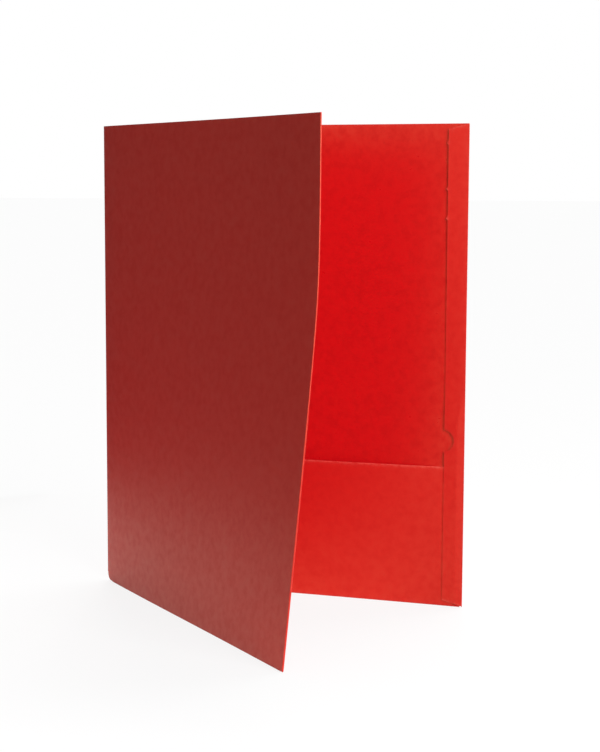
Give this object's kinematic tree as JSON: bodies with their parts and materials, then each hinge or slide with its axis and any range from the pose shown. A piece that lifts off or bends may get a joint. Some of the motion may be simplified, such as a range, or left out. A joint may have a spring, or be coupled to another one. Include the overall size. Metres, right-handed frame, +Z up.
{
  "type": "two pocket folder",
  "caption": "Letter-size presentation folder of red card, standing ajar, with a pocket across the foot of each cover and notched side flaps along the fore-edges.",
  "frame": {"origin": "middle of the footprint, on the surface that the folder stands on", "axes": "+Z up along the spine, +X from the spine along the back cover, +Y out of the back cover's outside"},
  "size_m": [0.2392, 0.1622, 0.2985],
  "materials": {
    "card": "red solid-dyed card, calendered satin",
    "glue": "dried hot glue, translucent straw"
  },
  "bodies": {
    "back": {"spine_fold": "card", "back_cover": "card", "back_pocket_fold": "card", "back_pocket": "card", "back_edge_fold": "card", "back_glue_tab": "card", "back_glue_line": "glue"},
    "back_flap": {"back_side_flap": "card"},
    "back_lip": {"back_pocket_lip": "card"},
    "front": {"front_cover": "card", "front_pocket_fold": "card", "front_pocket": "card", "front_edge_fold": "card", "front_glue_tab": "card", "front_glue_line": "glue", "front_cover_corner": "card"},
    "front_flap": {"front_side_flap": "card"},
    "front_lip": {"front_pocket_lip": "card", "front_lip_corner": "card"}
  },
  "joints": [
    {"name": "spine_hinge", "type": "hinge", "parent": "back", "child": "front", "pos_m": [-0.11853, 0.08008, 0.14923], "axis": [0, 0, -1], "range_deg": [-36.5, 141]},
    {"name": "back_flap_hinge", "type": "hinge", "parent": "back", "child": "back_flap", "pos_m": [0.1188, 0.08035, 0.19323], "axis": [0, 0, 1], "range_deg": [-4.5, 30], "stiffness_Nm_per_rad": 0.001},
    {"name": "back_pocket_mouth", "type": "hinge", "parent": "back", "child": "back_lip", "pos_m": [-0.00238, 0.08028, 0.04576], "axis": [0.9316, 0, 0.3635], "range_deg": [0, 6], "stiffness_Nm_per_rad": 0.02},
    {"name": "front_flap_hinge", "type": "hinge", "parent": "front", "child": "front_flap", "pos_m": [0.06482, -0.0704, 0.19343], "axis": [-0.0433, -0.0515, -0.9977], "range_deg": [-4.5, 30], "stiffness_Nm_per_rad": 0.001},
    {"name": "front_pocket_mouth", "type": "hinge", "parent": "front", "child": "front_lip", "pos_m": [-0.03093, 0.00385, 0.04595], "axis": [-0.7031, 0.61, -0.3653], "range_deg": [0, 6], "stiffness_Nm_per_rad": 0.02}
  ]
}
